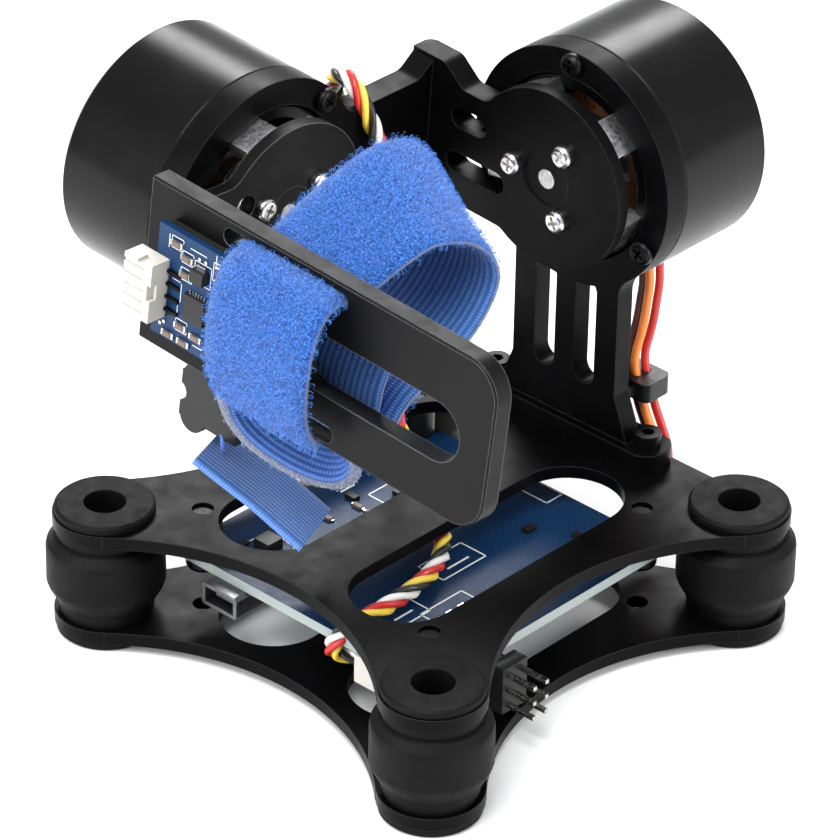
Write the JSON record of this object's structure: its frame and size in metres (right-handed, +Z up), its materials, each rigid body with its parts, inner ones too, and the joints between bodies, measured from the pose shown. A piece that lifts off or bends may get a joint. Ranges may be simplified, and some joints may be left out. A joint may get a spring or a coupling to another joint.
{
  "type": "camera gimbal",
  "caption": "Two-axis brushless camera gimbal: isolator plates with a control board, roll bracket, cross arm, and a camera tray with a hook-and-loop strap",
  "frame": {"origin": "centre of the 45 mm square hole pattern, on the underside of the base plate", "axes": "+X along the roll axis towards the roll motor's closed end, +Y along the pitch axis towards the pitch motor's closed end, +Z up"},
  "size_m": [0.0939, 0.0893, 0.0861],
  "materials": {
    "black_metal": "black anodised aluminium plate, satin, with fine machining grain",
    "motor_black": "black anodised turned housing, satin",
    "rubber": "moulded black rubber with a seam line",
    "screw_steel": "bright zinc plated steel",
    "black_steel": "black oxide steel",
    "shaft_steel": "ground steel",
    "stator_iron": "laminated silicon steel",
    "copper": "enamelled copper wire",
    "magnet": "nickel plated magnets",
    "alloy": "bare aluminium",
    "pcb": "blue solder mask with white legend",
    "chip": "black epoxy",
    "white_plastic": "natural white nylon",
    "black_plastic": "black moulded plastic",
    "gold_pin": "tinned and gilt contact pins",
    "foam": "black double-sided foam tape",
    "strap": "blue hook-and-loop webbing, fuzzy on one face and ribbed on the other",
    "nylon_spacer": "black nylon",
    "wire_orange": "silicone insulation",
    "wire_red": "silicone insulation",
    "wire_brown": "silicone insulation"
  },
  "bodies": {
    "base": {"base_plate": "black_metal", "damper_front_left": "rubber", "damper_front_right": "rubber", "damper_rear_right": "rubber", "damper_rear_left": "rubber"},
    "frame": {"board_capacitor": "black_plastic", "board_chips": "chip", "board_screws": "black_steel", "board_spacers": "nylon_spacer", "cable_socket": "white_plastic", "controller_board": "pcb", "foot_screws": "black_steel", "lead_socket": "white_plastic", "lead_tie": "black_plastic", "power_socket": "white_plastic", "roll_bearings": "shaft_steel", "roll_bracket": "black_metal", "roll_cup": "motor_black", "roll_lead_brown": "wire_brown", "roll_lead_orange": "wire_orange", "roll_lead_red": "wire_red", "roll_ring_screws": "black_steel", "roll_stator": "stator_iron", "roll_stator_mount": "alloy", "roll_windings": "copper", "servo_header": "black_plastic", "servo_pins": "gold_pin", "top_plate": "black_metal", "usb_port": "alloy"},
    "arm": {"cross_arm": "black_metal", "sensor_cable_clip": "white_plastic", "roll_bell": "motor_black", "roll_spider": "alloy", "roll_magnets": "magnet", "roll_shaft": "shaft_steel", "roll_hub_screws": "screw_steel", "pitch_cup": "motor_black", "pitch_ring_screws": "black_steel", "pitch_stator_mount": "alloy", "pitch_bearings": "shaft_steel", "pitch_stator": "stator_iron", "pitch_windings": "copper"},
    "tray": {"camera_tray": "black_metal", "camera_strap": "strap", "strap_tail": "strap", "strap_keeper": "black_plastic", "sensor_pad": "foam", "sensor_board": "pcb", "sensor_chips": "chip", "sensor_connector": "white_plastic", "sensor_pins": "screw_steel", "pitch_bell": "motor_black", "pitch_spider": "alloy", "pitch_magnets": "magnet", "pitch_shaft": "shaft_steel", "pitch_hub_screws": "screw_steel"}
  },
  "joints": [
    {"name": "isolators", "type": "slide", "parent": "base", "child": "frame", "axis": [0, 0, 1], "range_m": [-0.0007, 0.0015], "stiffness_N_per_m": 6000, "deforming": ["damper_front_left", "damper_front_right", "damper_rear_right", "damper_rear_left"]},
    {"name": "roll", "type": "hinge", "parent": "frame", "child": "arm", "pos_m": [0.03, 0, 0.0632], "axis": [1, 0, 0], "range_deg": [-28, 22]},
    {"name": "pitch", "type": "hinge", "parent": "arm", "child": "tray", "pos_m": [-0.01, 0, 0.0632], "axis": [0, 0.9978, 0.0663], "range_deg": [-50, 95]}
  ]
}
